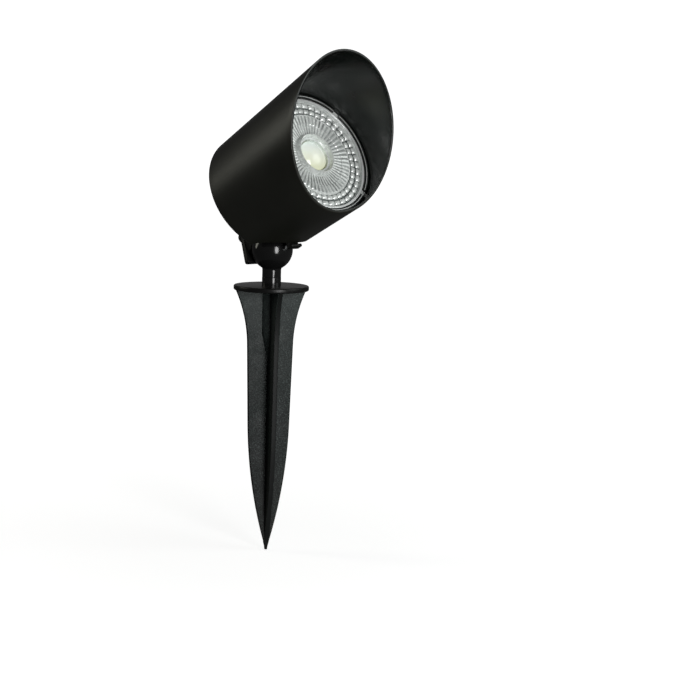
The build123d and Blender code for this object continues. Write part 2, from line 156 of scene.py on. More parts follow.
def turned(profile, segments=160, axis="X"):
    """Solid of revolution from a closed outline of (place on the axis, radius) points."""
    sections = []
    for index in range(segments):
        angle = 2 * math.pi * index / segments
        across, up = math.sin(angle), math.cos(angle)
        if axis == "X":
            sections.append([(x, r * across, r * up) for x, r in profile])
        else:
            sections.append([(r * across, r * up, z) for z, r in profile])
    return loft(sections, wrap=True)


def prism(outline, start, end, edge=0.0, normal="X"):
    """Plate of an outline between two planes, with its edges rounded."""
    def lifted(point, depth):
        return (depth, point[0], point[1]) if normal == "X" else (point[0], depth, point[1])

    mesh = loft([[lifted(point, depth) for point in outline] for depth in (start, end)])
    if edge:
        sharp = [item for item in mesh.edges if item.calc_face_angle(0) > math.radians(SHARP_ANGLE)]
        bmesh.ops.bevel(mesh, geom=sharp, offset=edge, segments=3, profile=0.5, affect="EDGES")
    return mesh


def ball(radius, centre=(0, 0, 0), segments=128):
    mesh = bmesh.new()
    place = Matrix.Translation(centre)
    bmesh.ops.create_uvsphere(
        mesh, u_segments=segments, v_segments=segments // 2, radius=radius, matrix=place
    )
    return mesh


def move(mesh, matrix):
    bmesh.ops.transform(mesh, matrix=matrix, verts=mesh.verts)
    return mesh


def mesh_data(name, mesh):
    """Mesh data of a drawing, which is used up."""
    data = bpy.data.meshes.new(name)
    mesh.to_mesh(data)
    mesh.free()
    return data


def linked(name, data):
    """New object of some data, in the scene."""
    item = bpy.data.objects.new(name, data)
    bpy.context.scene.collection.objects.link(item)
    return item


def gather(meshes):
    """One mesh made of several, which are used up."""
    whole = bmesh.new()
    for mesh in meshes:
        data = mesh_data("copy", mesh)
        whole.from_mesh(data)
        bpy.data.meshes.remove(data)
    return whole


def combine(first, second, operation):
    """UNION, DIFFERENCE or INTERSECT of two closed meshes, which are both used up."""
    objects = [linked("operand", mesh_data("operand", mesh)) for mesh in (first, second)]
    modifier = objects[0].modifiers.new("combine", "BOOLEAN")
    modifier.operation = operation
    modifier.solver = "EXACT"
    modifier.object = objects[1]
    shape = objects[0].evaluated_get(bpy.context.evaluated_depsgraph_get())
    result = bmesh.new()
    result.from_mesh(shape.to_mesh())
    for item in objects:
        data = item.data
        bpy.data.objects.remove(item)
        bpy.data.meshes.remove(data)
    bmesh.ops.remove_doubles(result, verts=result.verts, dist=MERGE_DISTANCE)
    return result


def around_x(mesh, count, start=0.0):
    """The mesh repeated round the X axis."""
    turns = [math.radians(start + 360 * index / count) for index in range(count)]
    copies = [move(mesh.copy(), Matrix.Rotation(turn, 4, "X")) for turn in turns]
    mesh.free()
    return gather(copies)


def piece(name, mesh, place, body, nodes, material, smooth_angle=32):
    """Finished object of a drawing, which rides on a body and stands for CAD nodes."""
    data = mesh_data(name, move(mesh, place))
    data.shade_smooth()
    data.set_sharp_from_angle(angle=math.radians(smooth_angle))
    data.materials.append(material)
    item = linked(name, data)
    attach(item, body)
    if nodes:
        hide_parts(*nodes)
    return item


# ---- materials ----
NOISE_RANGE = (0.3, 0.7)
GLOSS_DRIFT = (-0.03, 0.04)
SPIKE_TIP_TO_TOP = (-0.115, -0.005)
DOME_REFRACTION_FADE = (-0.006, 0.004)


def noise(tree, size_mm, detail=4.0, roughness=0.5, distortion=0.0, stretch=(1, 1, 1)):
    """Noise value with features of about the given size, fixed to the object."""
    place = tree.nodes.new("ShaderNodeTexCoord")
    mapping = tree.nodes.new("ShaderNodeMapping")
    mapping.inputs["Scale"].default_value = stretch
    texture = tree.nodes.new("ShaderNodeTexNoise")
    texture.inputs["Scale"].default_value = 1 / (size_mm * MM)
    texture.inputs["Detail"].default_value = detail
    texture.inputs["Roughness"].default_value = roughness
    texture.inputs["Distortion"].default_value = distortion
    tree.links.new(place.outputs["Object"], mapping.inputs["Vector"])
    tree.links.new(mapping.outputs["Vector"], texture.inputs["Vector"])
    return texture.outputs["Fac"]


def ramp(tree, value, *stops):
    """Colours blended by a value, from (place, colour) stops."""
    node = tree.nodes.new("ShaderNodeValToRGB")
    elements = node.color_ramp.elements
    while len(elements) < len(stops):
        elements.new(0.5)
    for element, (place, colour) in zip(elements, stops):
        element.position = place
        element.color = (*colour, 1)
    tree.links.new(value, node.inputs["Fac"])
    return node.outputs["Color"]


def spread(tree, value, low, high, source=NOISE_RANGE):
    """A value rescaled from the noise's usual range to low ... high."""
    node = tree.nodes.new("ShaderNodeMapRange")
    node.inputs["From Min"].default_value = source[0]
    node.inputs["From Max"].default_value = source[1]
    node.inputs["To Min"].default_value = low
    node.inputs["To Max"].default_value = high
    tree.links.new(value, node.inputs["Value"])
    return node.outputs["Result"]


def relief(tree, value, height_mm, below=None):
    """Normal of a surface raised by a value, over another relief if one is given."""
    node = tree.nodes.new("ShaderNodeBump")
    node.inputs["Strength"].default_value = 1.0
    node.inputs["Distance"].default_value = height_mm * MM
    tree.links.new(value, node.inputs["Height"])
    if below is not None:
        tree.links.new(below, node.inputs["Normal"])
    return node.outputs["Normal"]


def blank_material(name, **sockets):
    material = bpy.data.materials.new(name)
    material.use_nodes = True
    tree = material.node_tree
    shader = tree.nodes["Principled BSDF"]
    for socket, value in sockets.items():
        shader.inputs[socket.replace("_", " ")].default_value = value
    return material, tree, shader


def scaled(colour, factor):
    return tuple(min(1.0, channel * factor) for channel in colour)


def finish(name, colour, gloss, grain_mm, grain_height_mm, patch_mm=18.0, tint=0.15, **sockets):
    """Plain finish: colour and roughness drift over patches, and a fine grain covers it."""
    material, tree, shader = blank_material(name, **sockets)
    patches = noise(tree, patch_mm, detail=6)
    grain = noise(tree, grain_mm, detail=3)
    stops = zip(NOISE_RANGE, (scaled(colour, 1 - tint), scaled(colour, 1 + tint)))
    tree.links.new(ramp(tree, patches, *stops), shader.inputs["Base Color"])
    low, high = (gloss + drift for drift in GLOSS_DRIFT)
    tree.links.new(spread(tree, patches, low, high), shader.inputs["Roughness"])
    tree.links.new(relief(tree, grain, grain_height_mm), shader.inputs["Normal"])
    return material


def spike_finish():
    """Spark-textured glass-filled plastic, paler at the top and browner toward the tip, with painted glints on the
    sparks.
    """
    material, tree, shader = blank_material("spike_grain", Specular_IOR_Level=0.22)
    place = tree.nodes.new("ShaderNodeTexCoord")
    split = tree.nodes.new("ShaderNodeSeparateXYZ")
    tree.links.new(place.outputs["Object"], split.inputs["Vector"])
    height = spread(tree, split.outputs["Z"], 0, 1, source=SPIKE_TIP_TO_TOP)
    along_spike = ramp(
        tree, height,
        (0.0, (0.009, 0.0085, 0.0075)),
        (0.45, (0.0080, 0.0108, 0.0102)),
        (0.85, (0.0150, 0.0195, 0.0185)),
        (1.0, (0.030, 0.037, 0.0355)),
    )
    sparks = noise(tree, 0.55, detail=2, roughness=0.7)
    # Painted glints: the sparks are lightened in the base colour to stand in for highlights on the texture.
    painted_glints = ramp(tree, sparks, (0.5, (0, 0, 0)), (0.72, (0.052, 0.064, 0.061)))
    add = tree.nodes.new("ShaderNodeMix")
    add.data_type = "RGBA"
    add.blend_type = "ADD"
    add.inputs["Factor"].default_value = 1.0
    tree.links.new(along_spike, add.inputs["A"])
    tree.links.new(painted_glints, add.inputs["B"])
    tree.links.new(add.outputs["Result"], shader.inputs["Base Color"])
    tree.links.new(spread(tree, noise(tree, 6), 0.42, 0.58), shader.inputs["Roughness"])
    coarse = relief(tree, noise(tree, 1.1, detail=5, roughness=0.65), 0.09)
    tree.links.new(relief(tree, sparks, 0.05, below=coarse), shader.inputs["Normal"])
    return material


def shell_finish():
    """Satin moulded black with a faint orange peel and flow lines along the tube."""
    material, tree, shader = blank_material("shell_satin", Specular_IOR_Level=0.5)
    patches = noise(tree, 22, detail=5)
    flow = noise(tree, 2.5, detail=4, stretch=(0.12, 1, 0.2))
    peel = noise(tree, 0.9, detail=2)
    stops = ((0.3, (0.0095, 0.0100, 0.0072)), (0.7, (0.0145, 0.0152, 0.0115)))
    tree.links.new(ramp(tree, patches, *stops), shader.inputs["Base Color"])
    tree.links.new(spread(tree, flow, 0.36, 0.44), shader.inputs["Roughness"])
    broad = relief(tree, flow, 0.01)
    tree.links.new(relief(tree, peel, 0.006, below=broad), shader.inputs["Normal"])
    return material


def hood_inside_shade_finish():
    """Shinier black inside the hood, darker than the outside as painted shade, with soft green and brown drift
    painted in as coloured reflections.
    """
    material, tree, shader = blank_material("hood_inside_painted_shade", Specular_IOR_Level=0.55)
    patches = noise(tree, 14, detail=3, roughness=0.6)
    flow = noise(tree, 4, detail=3)
    # Painted shade and reflection: all three colours sit darker than the outside, and the green and brown stand in
    # for coloured reflections.
    green, middle, brown = (0.0012, 0.0024, 0.0018), (0.0025, 0.0045, 0.0036), (0.0045, 0.0038, 0.003)
    stops = ((0.35, green), (0.5, middle), (0.65, brown))
    tree.links.new(ramp(tree, patches, *stops), shader.inputs["Base Color"])
    tree.links.new(spread(tree, patches, 0.22, 0.28), shader.inputs["Roughness"])
    tree.links.new(relief(tree, flow, 0.008), shader.inputs["Normal"])
    return material


def optic_finish():
    """Bright moulded optic, silvered behind, with small differences between its facets."""
    material, tree, shader = blank_material(
        "optic_silver", Metallic=0.2, Coat_Weight=0.7, Coat_Roughness=0.05
    )
    patches = noise(tree, 3.0, detail=4)
    ripple = noise(tree, 1.2, detail=3)
    stops = ((0.3, (0.62, 0.65, 0.63)), (0.7, (0.84, 0.87, 0.85)))
    tree.links.new(ramp(tree, patches, *stops), shader.inputs["Base Color"])
    tree.links.new(spread(tree, ripple, 0.2, 0.32), shader.inputs["Roughness"])
    tree.links.new(relief(tree, ripple, 0.02), shader.inputs["Normal"])
    return material


def dome_refraction_and_glow_finish():
    """Milky convex lens over the LED: pale green-white above, pale yellow below as a painted refraction of the
    LED, with a weak painted glow though the lamp is off.
    """
    # Painted glow: a weak emission of the dome's own colour, though the dome is no lamp.
    material, tree, shader = blank_material(
        "dome_painted_refraction_glow", Coat_Weight=0.4, Coat_Roughness=0.1, Emission_Strength=0.2
    )
    place = tree.nodes.new("ShaderNodeTexCoord")
    split = tree.nodes.new("ShaderNodeSeparateXYZ")
    tree.links.new(place.outputs["Object"], split.inputs["Vector"])
    middle = (TUBE @ Vector((lens_high.x, 0, 0))).z
    height = spread(tree, split.outputs["Z"], 0, 1, source=[middle + edge for edge in DOME_REFRACTION_FADE])
    cells = noise(tree, 2.5, detail=2)
    blend = tree.nodes.new("ShaderNodeMix")
    blend.inputs["Factor"].default_value = 0.2
    tree.links.new(height, blend.inputs["A"])
    tree.links.new(cells, blend.inputs["B"])
    # The ramp paints the LED's yellow, seen refracted, into the lower half as a painted refraction.
    stops = ((0.15, (0.66, 0.68, 0.50)), (0.5, (0.80, 0.83, 0.70)), (0.9, (0.90, 0.97, 0.92)))
    colour = ramp(tree, blend.outputs["Result"], *stops)
    tree.links.new(colour, shader.inputs["Base Color"])
    tree.links.new(colour, shader.inputs["Emission Color"])
    tree.links.new(spread(tree, cells, 0.14, 0.22), shader.inputs["Roughness"])
    tree.links.new(relief(tree, cells, 0.02), shader.inputs["Normal"])
    return material


def phosphor_finish():
    """Yellow phosphor under silicone, brighter over the dies."""
    material, tree, shader = blank_material("phosphor", Coat_Weight=0.5, Emission_Strength=0.6)
    dies = noise(tree, 1.6, detail=1)
    stops = ((0.35, (0.85, 0.66, 0.08)), (0.65, (0.98, 0.86, 0.22)))
    colour = ramp(tree, dies, *stops)
    tree.links.new(colour, shader.inputs["Base Color"])
    tree.links.new(colour, shader.inputs["Emission Color"])
    tree.links.new(spread(tree, dies, 0.25, 0.4), shader.inputs["Roughness"])
    tree.links.new(relief(tree, dies, 0.03), shader.inputs["Normal"])
    return material


materials = {
    "shell_black": shell_finish(),
    "bracket_black": finish(
        "bracket_satin", (0.006, 0.006, 0.0055), 0.46, 0.8, 0.006, Specular_IOR_Level=0.22
    ),
    "stem_black": finish("stem_gloss", (0.008, 0.008, 0.008), 0.14, 1.5, 0.003, tint=0.1),
    "spike_black": spike_finish(),
    "gland_nylon": finish("gland_satin", (0.014, 0.014, 0.014), 0.42, 0.7, 0.008),
    "liner_nylon": finish("liner_natural", (0.55, 0.53, 0.48), 0.45, 0.8, 0.006),
    "ring_black": finish("ring_satin", (0.012, 0.013, 0.012), 0.3, 0.8, 0.004),
    "bezel_silver": finish("rim_silver", (0.8, 0.82, 0.81), 0.22, 0.9, 0.003, Metallic=0.35),
    "lens_clear": optic_finish(),
    "sink_aluminium": finish("cast_aluminium", (0.72, 0.73, 0.73), 0.38, 0.5, 0.01, Metallic=1.0),
    "board_white": finish("white_mask", (0.82, 0.82, 0.78), 0.4, 0.9, 0.004, patch_mm=5),
    "board_green": finish("green_mask", (0.02, 0.16, 0.07), 0.35, 0.9, 0.004, patch_mm=5),
    "led_phosphor": phosphor_finish(),
    "component_dark": finish("dark_moulding", (0.05, 0.05, 0.06), 0.45, 0.6, 0.006, patch_mm=4),
    "terminal_nylon": finish("terminal_white", (0.8, 0.8, 0.76), 0.45, 0.7, 0.006, patch_mm=5),
    "standoff_brass": finish("plain_brass", (0.72, 0.56, 0.25), 0.3, 0.4, 0.004, Metallic=1.0),
    "screw_steel": finish("zinc_plate", (0.6, 0.6, 0.6), 0.32, 0.4, 0.004, patch_mm=2, Metallic=1.0),
    "screw_black": finish("black_oxide", (0.05, 0.05, 0.05), 0.35, 0.5, 0.006, patch_mm=2, Metallic=0.8),
    "lead_red": finish("red_insulation", (0.5, 0.03, 0.03), 0.5, 0.5, 0.004, patch_mm=3),
    "lead_black": finish("black_insulation", (0.02, 0.02, 0.02), 0.5, 0.5, 0.004, patch_mm=3),
    "seal_rubber": finish("seal_rubber", (0.025, 0.025, 0.025), 0.6, 0.4, 0.01, patch_mm=4),
}
flange_finish = finish("flange_satin", (0.007, 0.007, 0.007), 0.32, 0.8, 0.004, Specular_IOR_Level=0.24)
blade_edge_finish = finish(
    "blade_edge_smooth", (0.0065, 0.0075, 0.0072), 0.5, 0.7, 0.006, Specular_IOR_Level=0.2
)
for node_name, node in frame["nodes"].items():
    finished = materials[slots[node_name]]
    if node.material_slots:
        for material_slot in node.material_slots:
            material_slot.material = finished
    else:
        node.data.materials.append(finished)

# ---- tube and hood ----
REAR_RADIUS = 26.92
TAPER = 0.0306
WALL = 1.8
HOOD_WALL = 1.1
REAR_WALL = 2.0
REAR_ROUND = 1.5
CUT_AT_AXIS = 61.0
CUT_SLOPE = 0.559
RIM_ROUND = 0.4
SCALLOP_RADIUS = 15.0
DOME_WALL = 1.6
GLAND_HOLE_RADIUS = 6.0
LEDGE_LENGTH = 2.0
LEDGE_RADIUS = 24.7
SHELL_SEGMENTS = 224
SHELL_ROWS = 14
RIM_STEPS = 4
INSIDE_SHADE_START = 0.1
FACING_INWARD = -0.002

lens_low, lens_high = extent("module_lens", TUBE)
lens_radius = widest("module_lens", TUBE)
bezel_low, bezel_high = extent("lens_bezel", TUBE)
bezel_radius = widest("lens_bezel", TUBE)
ring_low, ring_high = extent("retaining_ring", TUBE)
ring_radius = widest("retaining_ring", TUBE)
rear_x = extent("housing_shell", TUBE)[0].x
floor_x = rear_x + REAR_WALL
ledge_end_x = extent("front_seal", TUBE)[0].x
ledge_x = ledge_end_x - LEDGE_LENGTH


def outer_radius(x):
    """Outside radius of the tapered tube at a place along its axis."""
    return REAR_RADIUS + TAPER * (x - rear_x)


def hood_edge(inset, rise):
    """Point of the slanted hood cut on the wall, where rise is the cosine of the angle from the top."""
    start_radius = outer_radius(0) - inset
    x = (CUT_AT_AXIS + CUT_SLOPE * rise * start_radius) / (1 - CUT_SLOPE * rise * TAPER)
    return Vector((x, outer_radius(x) - inset))


def shell_section(angle):
    """Closed outline of the tube's wall in the half plane at an angle from the top."""
    rise = math.cos(angle)
    outer_tip, inner_tip = hood_edge(0, rise), hood_edge(HOOD_WALL, rise)
    outline = [Vector((rear_x, GLAND_HOLE_RADIUS))]
    outline += arc((rear_x + REAR_ROUND, REAR_RADIUS - REAR_ROUND), REAR_ROUND, 180, 90, 8)
    first = outline[-1]
    outline += [first.lerp(outer_tip, row / SHELL_ROWS) for row in range(1, SHELL_ROWS)]
    wall_back = (first - outer_tip).normalized() * RIM_ROUND
    across = (inner_tip - outer_tip).normalized() * RIM_ROUND
    for corner, near, far in ((outer_tip, wall_back, across), (inner_tip, -across, wall_back)):
        for step in range(RIM_STEPS + 1):
            t = step / RIM_STEPS
            outline.append(corner + near * (1 - t) ** 2 + far * t * t)
    ledge_end = Vector((ledge_end_x, outer_radius(ledge_end_x) - HOOD_WALL))
    outline += [inner_tip.lerp(ledge_end, row / SHELL_ROWS) for row in range(1, SHELL_ROWS + 1)]
    outline += [
        Vector((ledge_end_x, LEDGE_RADIUS)),
        Vector((ledge_x, LEDGE_RADIUS)),
        Vector((ledge_x, outer_radius(ledge_x) - WALL)),
        Vector((floor_x, outer_radius(floor_x) - WALL)),
        Vector((floor_x, GLAND_HOLE_RADIUS)),
    ]
    return [(p.x, p.y * math.sin(angle), p.y * rise) for p in outline]


def build_shell():
    """Tube and hood, with a domed pocket for the ball in its underside."""
    turns = [2 * math.pi * index / SHELL_SEGMENTS for index in range(SHELL_SEGMENTS)]
    shell = loft([shell_section(turn) for turn in turns], wrap=True)
    middle = WALL / 2
    core_end = ledge_x - 1
    core = turned([
        (rear_x + middle, 0), (rear_x + middle, outer_radius(rear_x) - 2 * middle),
        (core_end, outer_radius(core_end) - middle), (core_end, 0),
    ])
    dome = combine(ball(SCALLOP_RADIUS + DOME_WALL, BALL_IN_TUBE), core, "INTERSECT")
    shell = combine(shell, dome, "UNION")
    return combine(shell, ball(SCALLOP_RADIUS, BALL_IN_TUBE, segments=192), "DIFFERENCE")


def shade_hood_inside(shell):
    """Gives the faces in front of the ledge that look inwards the inside material, darker as painted shade and
    tinted with painted coloured reflections.
    """
    shell.data.materials.append(hood_inside_shade_finish())
    for face in shell.data.polygons:
        outward = face.center - tube_centre
        reach = outward.dot(along) / MM
        from_axis = outward - along * outward.dot(along)
        if reach > ledge_end_x + INSIDE_SHADE_START and face.normal.dot(from_axis) < FACING_INWARD:
            face.material_index = 1


shade_hood_inside(piece("tube_shell", build_shell(), TUBE, "lamp_head", ["housing_shell"], materials["shell_black"]))

# ---- lens and rim ----
# The bands, their gap and FLUTE_STEP are shares of the face's radius, and lengths are millimetres.
STUD_COUNT = 42
STUD_BAND = (0.735, 0.945)
STUD_DEPTH = 0.9
STUD_FLATNESS = 1.4
LAND_DEPTH = 0.35
FLUTE_COUNT = 54
FLUTE_BAND = (0.38, 0.70)
FLUTE_STEP = 0.56
FLUTE_STEP_RISE = 0.25
FLUTE_RISE = 0.75
BOWL_DEPTH = 0.9
BEAD_RADIUS = 8.6
BEAD_HALF_WIDTH = 0.9
BEAD_RISE = 2.2
BEAD_FLOOR_DEPTH = 1.1
KNURL_SHARE = 0.12
BAND_GAP = 0.012
RECESS_DEPTH = 0.5
GROOVE_SHARE = 0.3
WELL_RADIUS = 7.0
WELL_WALL = 0.6
WELL_FLOOR_RISE = 1.0
SKIRT_WALL = 1.6
SKIRT_GAP = 0.3
DOME_RADIUS = 6.5
DOME_RISE = 2.6
DOME_SEAT = 2.6
DOME_PROUD = 0.7
RIM_OVERLAP = 0.2
RIM_CLEARANCE = 0.1
optic_front_x = lens_high.x
face_radius = bezel_radius


def bump(value, centre, half_width):
    """Smooth rise and fall about a centre, 1 at the middle and 0 outside."""
    t = abs(value - centre) / half_width
    return 0 if t >= 1 else (1 - t * t) ** 2


def flute_fold(angle):
    """Height of the flutes round the optic, 0 in a groove and 1 on a crest."""
    return abs((angle * FLUTE_COUNT / (2 * math.pi)) % 1 - 0.5) * 2


def optic_height(radius, angle):
    """Relief of the moulded optic, in millimetres back from its front plane."""
    share = radius / face_radius
    inner_stud, outer_stud = STUD_BAND
    inner_flute, outer_flute = FLUTE_BAND
    if inner_stud <= share <= outer_stud:
        row = (share - inner_stud) / (outer_stud - inner_stud) * 2
        lift = abs(math.sin(math.pi * row)) * abs(math.cos(STUD_COUNT * angle / 2)) ** 0.7
        return STUD_DEPTH * (min(1.0, STUD_FLATNESS * lift) - 1)
    if inner_flute <= share <= outer_flute:
        bowl = BOWL_DEPTH * (outer_flute - share) / (outer_flute - inner_flute)
        step = FLUTE_STEP_RISE if share > FLUTE_STEP else 0.0
        return -FLUTE_RISE - bowl + step + FLUTE_RISE * flute_fold(angle) * share
    if share > outer_stud:
        return 0.0
    if share > outer_flute:
        return -LAND_DEPTH
    knurl = 1 - KNURL_SHARE * abs(math.sin(FLUTE_COUNT * angle))
    return -BEAD_FLOOR_DEPTH + BEAD_RISE * knurl * bump(radius, BEAD_RADIUS, BEAD_HALF_WIDTH)


def steps_between(low, high, count):
    return [low + (high - low) * step / count for step in range(count + 1)]


def build_optic():
    """Cup with the moulded relief on its face and a well for the dome in its middle."""
    segments = STUD_COUNT * 9
    edge_share = lens_radius / face_radius
    well_share = WELL_RADIUS / face_radius
    shares = steps_between(well_share, FLUTE_BAND[0] - BAND_GAP, 16)
    shares += steps_between(*FLUTE_BAND, 26)
    shares += steps_between(FLUTE_BAND[1] + BAND_GAP, STUD_BAND[0] - BAND_GAP, 3)
    shares += steps_between(*STUD_BAND, 18)
    shares += steps_between(STUD_BAND[1] + BAND_GAP, edge_share, 3)
    radii = [share * face_radius for share in shares]
    well_floor_x = lens_low.x + WELL_FLOOR_RISE
    back_x = bezel_low.x + SKIRT_GAP
    sections = []
    for index in range(segments):
        angle = 2 * math.pi * index / segments
        profile = [(optic_front_x + optic_height(radius, angle), radius) for radius in radii]
        profile += [
            (back_x, lens_radius), (back_x, lens_radius - SKIRT_WALL),
            (well_floor_x, WELL_RADIUS + WELL_WALL), (well_floor_x, WELL_RADIUS),
        ]
        sections.append([(x, r * math.sin(angle), r * math.cos(angle)) for x, r in profile])
    return loft(sections, wrap=True)


def shade_recesses(optic):
    """Paints shade into the grooves between the studs and between the flutes, as darker materials."""
    # Painted shade: these darker materials stand in for the shade that falls in the recesses.
    optic.data.materials.append(
        finish("optic_recess_painted_shade", (0.10, 0.115, 0.11), 0.2, 1.2, 0.01, patch_mm=3, tint=0.3, Coat_Weight=0.6)
    )
    optic.data.materials.append(
        finish("optic_groove_painted_shade", (0.33, 0.35, 0.34), 0.2, 1.2, 0.01, patch_mm=4, tint=0.55, Coat_Weight=0.6)
    )
    into_tube = TUBE.inverted()
    for face in optic.data.polygons:
        x, y, z = into_tube @ face.center
        radius = math.hypot(y, z)
        share = radius / face_radius
        angle = math.atan2(y, z)
        if STUD_BAND[0] < share < STUD_BAND[1] and optic_height(radius, angle) < -RECESS_DEPTH:
            face.material_index = 1
        if FLUTE_BAND[0] < share < FLUTE_BAND[1] and flute_fold(angle) < GROOVE_SHARE:
            face.material_index = 2


def build_dome():
    """Central convex lens that sits in the optic's well over the LED."""
    base_x = lens_low.x + DOME_SEAT
    front_x = optic_front_x + DOME_PROUD
    bend = (DOME_RADIUS ** 2 + DOME_RISE ** 2) / (2 * DOME_RISE)
    reach = math.asin(DOME_RADIUS / bend)
    crown = [
        (front_x - bend + bend * math.cos(turn), bend * math.sin(turn))
        for turn in steps_between(0, reach, 24)
    ]
    return turned([(base_x, 0), (base_x, DOME_RADIUS), *reversed(crown)], segments=128)


shade_recesses(piece(
    "lens_optic", build_optic(), TUBE, "lamp_head", ["module_lens"], materials["lens_clear"], smooth_angle=24
))
dome = piece("lens_dome", build_dome(), TUBE, "lamp_head", [], dome_refraction_and_glow_finish())


def build_rim():
    """Silvered lip that holds the optic's edge."""
    lip_radius = lens_radius - RIM_OVERLAP
    lip_x = lens_high.x + 0.02
    bore = lens_radius + RIM_CLEARANCE
    outline = [
        (bezel_low.x, bore), (bezel_low.x, bezel_radius), (bezel_high.x, bezel_radius),
        (bezel_high.x, lip_radius), (lip_x, lip_radius), (lip_x, bore),
    ]
    return turned(soften(outline, 0.3), segments=SHELL_SEGMENTS)


piece("lens_rim", build_rim(), TUBE, "lamp_head", ["lens_bezel"], materials["bezel_silver"])

# ---- lock ring ----
# The painted highlight line's radii are in shares of the ring's width.
RING_HIGHLIGHT_LINE = (0.34, 0.54)
NOTCH_COUNT = 4
NOTCH_HALF_WIDTH = 1.5
ring_bore = bezel_radius + RIM_CLEARANCE
ring_highlight_radii = [ring_bore + (ring_radius - ring_bore) * share for share in RING_HIGHLIGHT_LINE]


def build_lock_ring():
    """Flat ring with four notches for the key that turns it."""
    outline = [(ring_low.x, ring_bore), (ring_low.x, ring_radius), (ring_high.x, ring_radius)]
    outline += [(ring_high.x, radius) for radius in reversed(ring_highlight_radii)]
    body = turned(soften([*outline, (ring_high.x, ring_bore)], 0.1), segments=SHELL_SEGMENTS)
    near, far = ring_bore - 1, ring_radius + 1
    across = NOTCH_HALF_WIDTH
    notch = prism(
        [(-across, near), (across, near), (across, far), (-across, far)],
        ring_high.x - 1, ring_high.x + 1,
    )
    return combine(body, around_x(notch, NOTCH_COUNT, start=45), "DIFFERENCE")


def paint_ring_highlight(ring):
    """Paints a highlight: a thin light grey line round the ring's front face, where the ring's edge catches the
    light.
    """
    low, high = ring_highlight_radii
    ring.data.materials.append(finish("ring_painted_highlight", (0.52, 0.54, 0.53), 0.25, 0.6, 0.003, patch_mm=6))
    for face in ring.data.polygons:
        outward = face.center - tube_centre
        radius = (outward - along * outward.dot(along)).length / MM
        if low < radius < high and face.normal.dot(along) > 0.5:
            face.material_index = 1


paint_ring_highlight(piece(
    "lock_ring", build_lock_ring(), TUBE, "lamp_head", ["retaining_ring"], materials["ring_black"]
))

# ---- ball clamp ----
stem_low, stem_high = extent("ball_stem", GROUND)
ball_radius = stem_high.z - ball_centre.z / MM
JAW_GAP = 0.2
BLOCK_SPHERE = SCALLOP_RADIUS - 0.1
block_low, block_high = extent("socket_block", BALL)
plate_low, plate_high = extent("clamp_plate", BALL)
LIP_X = (12.0, 13.4)
LIP_HALF_WIDTH = 3.0
LIP_ROOT_X = (9.5, 13.4)
LIP_ROOT_Z = (-0.5, 6.0)
TOE_TOP_Z = -4.0
BLOCK_HALF_WIDTH = 7.0
BLOCK_BOTTOM_Z = 2.5
BLOCK_FRONT_X = 12.2
BLOCK_TOP_Z = 12.6
STEM_RELIEF_RADIUS = 4.4
CLAMP_SCREW_Y = 4.2
CLAMP_SCREW_Z = 10.3
PLATE_TOP_HALF_WIDTH = 6.0
PLATE_CORNER = 1.2
PLATE_EDGE = 0.35
BLOCK_EDGE = 0.5
STEM_RELIEF_LENGTH = 40
TILT_UP_LIMIT = 45
LEAN_LIMIT = 15


def build_block():
    """Upper seat of the ball, with a lip and a toe that reach down in front of it."""
    def bar(x_from, x_to, half_width, z_from, z_to):
        outline = [(x_from, z_from), (x_to, z_from), (x_to, z_to), (x_from, z_to)]
        return prism(outline, -half_width, half_width, edge=BLOCK_EDGE, normal="Y")

    body = bar(block_low.x, BLOCK_FRONT_X, BLOCK_HALF_WIDTH, BLOCK_BOTTOM_Z, BLOCK_TOP_Z)
    root = bar(*LIP_ROOT_X, LIP_HALF_WIDTH, *LIP_ROOT_Z)
    lip = bar(*LIP_X, LIP_HALF_WIDTH, block_low.z, LIP_ROOT_Z[1] - 0.6)
    body = combine(body, combine(root, lip, "UNION"), "UNION")
    body = combine(body, ball(BLOCK_SPHERE, segments=192), "INTERSECT")
    toe = bar(LIP_X[0], block_high.x, LIP_HALF_WIDTH, block_low.z, TOE_TOP_Z)
    body = combine(body, toe, "UNION")
    return combine(body, ball(ball_radius + JAW_GAP), "DIFFERENCE")


def build_plate():
    """Rear jaw of the ball, cut away for the stem where the head tilts up and leans."""
    bottom, top = plate_low.z, plate_high.z
    outline = [
        (-plate_high.y, bottom), (plate_high.y, bottom),
        (PLATE_TOP_HALF_WIDTH, top), (-PLATE_TOP_HALF_WIDTH, top),
    ]
    plate = prism(soften(outline, PLATE_CORNER), plate_low.x, plate_high.x, edge=PLATE_EDGE)
    plate = combine(plate, ball(ball_radius + JAW_GAP), "DIFFERENCE")
    tilt = Matrix.Rotation(math.radians(TILT_UP_LIMIT), 4, "Y")
    radius, end = STEM_RELIEF_RADIUS, -STEM_RELIEF_LENGTH
    for lean in (-LEAN_LIMIT, 0, LEAN_LIMIT):
        way = Matrix.Rotation(math.radians(lean), 4, "X") @ tilt
        shaft = turned([(0, 0), (0, radius), (end, radius), (end, 0)], 64, axis="Z")
        plate = combine(plate, move(shaft, way), "DIFFERENCE")
    return plate


def build_screw_head():
    """Low round head with a hexagon recess, its seat at x = 0."""
    low, high = extent("clamp_screws", BALL)
    head_height = plate_low.x - low.x
    radius = high.y - CLAMP_SCREW_Y
    outline = [(-head_height, 0), (-head_height, radius), (0, radius), (0, 0)]
    head = turned(soften(outline, 0.7, steps=6), segments=64)
    key_reach = radius * 0.55
    recess = [(key_reach * math.cos(turn), key_reach * math.sin(turn)) for turn in HEX_TURNS]
    return combine(head, prism(recess, -head_height - 1, -head_height * 0.4), "DIFFERENCE")


